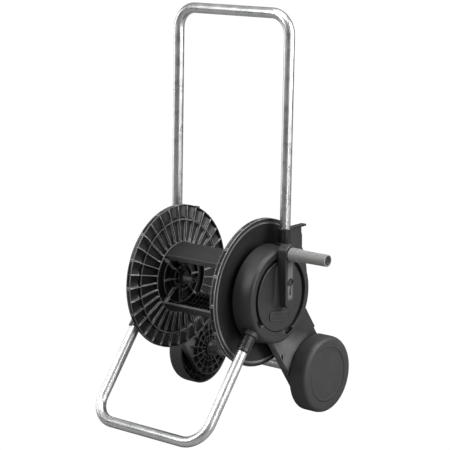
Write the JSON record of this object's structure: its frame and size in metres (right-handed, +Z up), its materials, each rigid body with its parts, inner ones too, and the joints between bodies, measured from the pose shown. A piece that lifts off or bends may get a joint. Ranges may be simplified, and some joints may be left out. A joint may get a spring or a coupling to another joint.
{
  "type": "garden hose reel cart",
  "caption": "Wheeled hose reel cart: bent tube handle and stand, two moulded side frames, a flanged drum turned by a side crank, and a swivel water inlet.",
  "frame": {"origin": "middle of the bottom of the whole part's box, on the ground", "axes": "+Z up, +X towards the crank side, -Y towards the stand, +Y towards the wheels"},
  "size_m": [0.538, 0.5192, 0.9699],
  "materials": {
    "tube_aluminium": "satin drawn tube with fine lengthwise lines",
    "steel_hardware": "zinc plated",
    "black_plastic": "fine-grained moulded black polypropylene",
    "gloss_plastic": "smooth glossy black",
    "wheel_plastic": "moulded dark grey, slightly rough",
    "grey_plastic": "light grey moulded, fine rings",
    "seal_rubber": "matt black"
  },
  "bodies": {
    "frame": {"handle_tube": "tube_aluminium", "foot_tube": "tube_aluminium", "side_frame_right": "black_plastic", "side_frame_left": "black_plastic", "handle_socket_right": "gloss_plastic", "handle_socket_left": "gloss_plastic", "foot_sleeve_right": "gloss_plastic", "foot_sleeve_left": "gloss_plastic", "axle_washer_right": "steel_hardware", "axle_washer_left": "steel_hardware", "axle_retainer_right": "steel_hardware", "axle_retainer_left": "steel_hardware", "drum_bush_right": "grey_plastic", "drum_bush_left": "grey_plastic", "handle_pin_right": "steel_hardware", "handle_pin_left": "steel_hardware", "foot_pin_right": "steel_hardware", "foot_pin_left": "steel_hardware", "axle_tube": "tube_aluminium", "axle_rod": "steel_hardware", "hub_cover": "black_plastic", "nozzle_clip": "gloss_plastic"},
    "drum": {"flange_right": "black_plastic", "flange_left": "black_plastic", "drum_screw_top_right": "steel_hardware", "drum_screw_top_left": "steel_hardware", "drum_screw_bottom_right": "steel_hardware", "drum_screw_bottom_left": "steel_hardware", "core_stave_top": "black_plastic", "core_stave_bottom": "black_plastic", "hose_pipe": "black_plastic", "crank_disc": "black_plastic", "crank_arm": "black_plastic", "crank_screw": "steel_hardware", "disc_pad": "black_plastic", "grip_spindle": "steel_hardware", "grip_washer": "steel_hardware"},
    "grip": {"crank_grip": "grey_plastic", "grip_end_cap": "black_plastic"},
    "right_wheel": {"wheel_right": "wheel_plastic", "wheel_cap_right": "wheel_plastic", "wheel_bush_right": "grey_plastic"},
    "left_wheel": {"wheel_left": "wheel_plastic", "wheel_cap_left": "wheel_plastic", "wheel_bush_left": "grey_plastic"},
    "inlet": {"inlet_elbow": "gloss_plastic", "inlet_connector": "grey_plastic", "inlet_seal": "seal_rubber"}
  },
  "joints": [
    {"name": "drum_spin", "type": "hinge", "parent": "frame", "child": "drum", "pos_m": [-0.054, 0.01185, 0.3131], "axis": [1, 0, 0], "continuous": true},
    {"name": "grip_spin", "type": "hinge", "parent": "drum", "child": "grip", "pos_m": [0.216, 0.01185, 0.4167], "axis": [1, 0, 0], "continuous": true},
    {"name": "right_wheel_spin", "type": "hinge", "parent": "frame", "child": "right_wheel", "pos_m": [0.138, 0.16635, 0.0932], "axis": [1, 0, 0], "continuous": true},
    {"name": "left_wheel_spin", "type": "hinge", "parent": "frame", "child": "left_wheel", "pos_m": [-0.246, 0.16635, 0.0932], "axis": [1, 0, 0], "continuous": true},
    {"name": "inlet_swivel", "type": "hinge", "parent": "frame", "child": "inlet", "pos_m": [-0.254, 0.01185, 0.3131], "axis": [1, 0, 0], "continuous": true}
  ]
}
